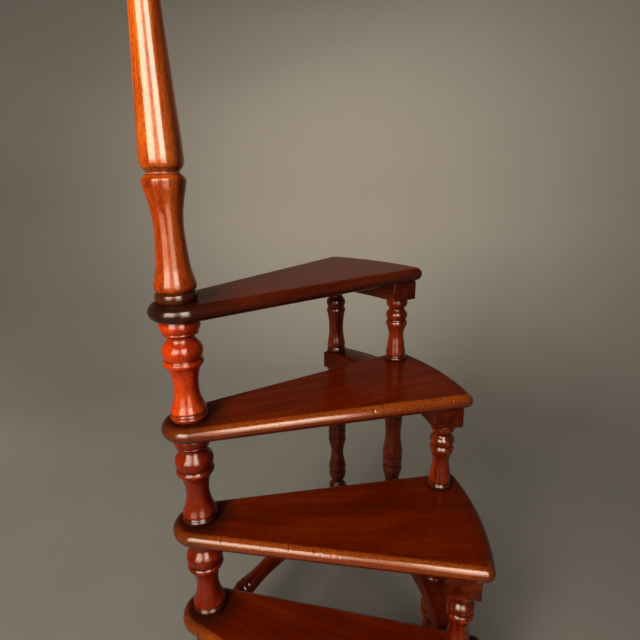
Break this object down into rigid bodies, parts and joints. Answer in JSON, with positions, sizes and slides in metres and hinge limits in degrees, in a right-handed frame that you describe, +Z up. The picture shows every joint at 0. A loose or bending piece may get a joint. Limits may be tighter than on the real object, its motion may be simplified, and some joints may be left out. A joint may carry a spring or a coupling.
{
  "type": "spiral library steps",
  "caption": "Spiral library steps: wedge treads wind round a turned newel that rises into a tall hand pole, carried on turned balusters, curved bearers and a curved base rail.",
  "frame": {"origin": "the newel's axis on the floor", "axes": "+Z up the newel, +X along the lowest tread's front edge, away from the newel, so that the flight climbs round towards +Y"},
  "size_m": [0.5499, 0.5588, 1.4511],
  "materials": {
    "turned_wood": "polished mahogany, glossy, orange red, with fine lengthwise grain",
    "tread_wood": "polished mahogany, glossy, dark red brown, edges worn paler",
    "rail_wood": "polished mahogany, satin, dark red brown",
    "steel": "bright steel screws, hidden inside the wood"
  },
  "bodies": {
    "steps": {"newel_segment_1": "turned_wood", "newel_segment_2": "turned_wood", "newel_segment_3": "turned_wood", "newel_segment_4": "turned_wood", "handle_base": "turned_wood", "tread_1": "tread_wood", "tread_2": "tread_wood", "tread_3": "tread_wood", "tread_4": "tread_wood", "base_rail": "rail_wood", "bearer_2": "rail_wood", "upper_rail": "rail_wood", "bearer_4": "rail_wood", "front_baluster_2": "turned_wood", "front_baluster_3": "turned_wood", "front_baluster_4": "turned_wood", "rear_baluster": "turned_wood", "short_post_3": "turned_wood", "long_post_4": "turned_wood", "long_post_5": "turned_wood", "leg_1": "turned_wood", "leg_3": "turned_wood", "leg_5": "turned_wood", "stretcher": "turned_wood", "tread_screw_1_1": "steel", "tread_screw_1_2": "steel", "tread_screw_2_1": "steel", "tread_screw_2_2": "steel", "tread_screw_3_1": "steel", "tread_screw_3_2": "steel", "tread_screw_4_1": "steel", "tread_screw_4_2": "steel"},
    "pole_stud": {"pole_dowel_screw": "steel"},
    "pole": {"pole": "turned_wood", "finial": "turned_wood"}
  },
  "joints": [
    {"name": "pole_rise", "type": "slide", "parent": "steps", "child": "pole_stud", "axis": [0, 0, 1], "range_m": [0, 0.0281]},
    {"name": "pole_turn", "type": "hinge", "parent": "pole_stud", "child": "pole", "pos_m": [0, 0, 0.99], "axis": [0, 0, 1], "range_deg": [0, 2520]}
  ],
  "couplings": [
    {"joint": "pole_rise", "follows": "pole_turn", "m_per_rad": 0.00063662}
  ]
}
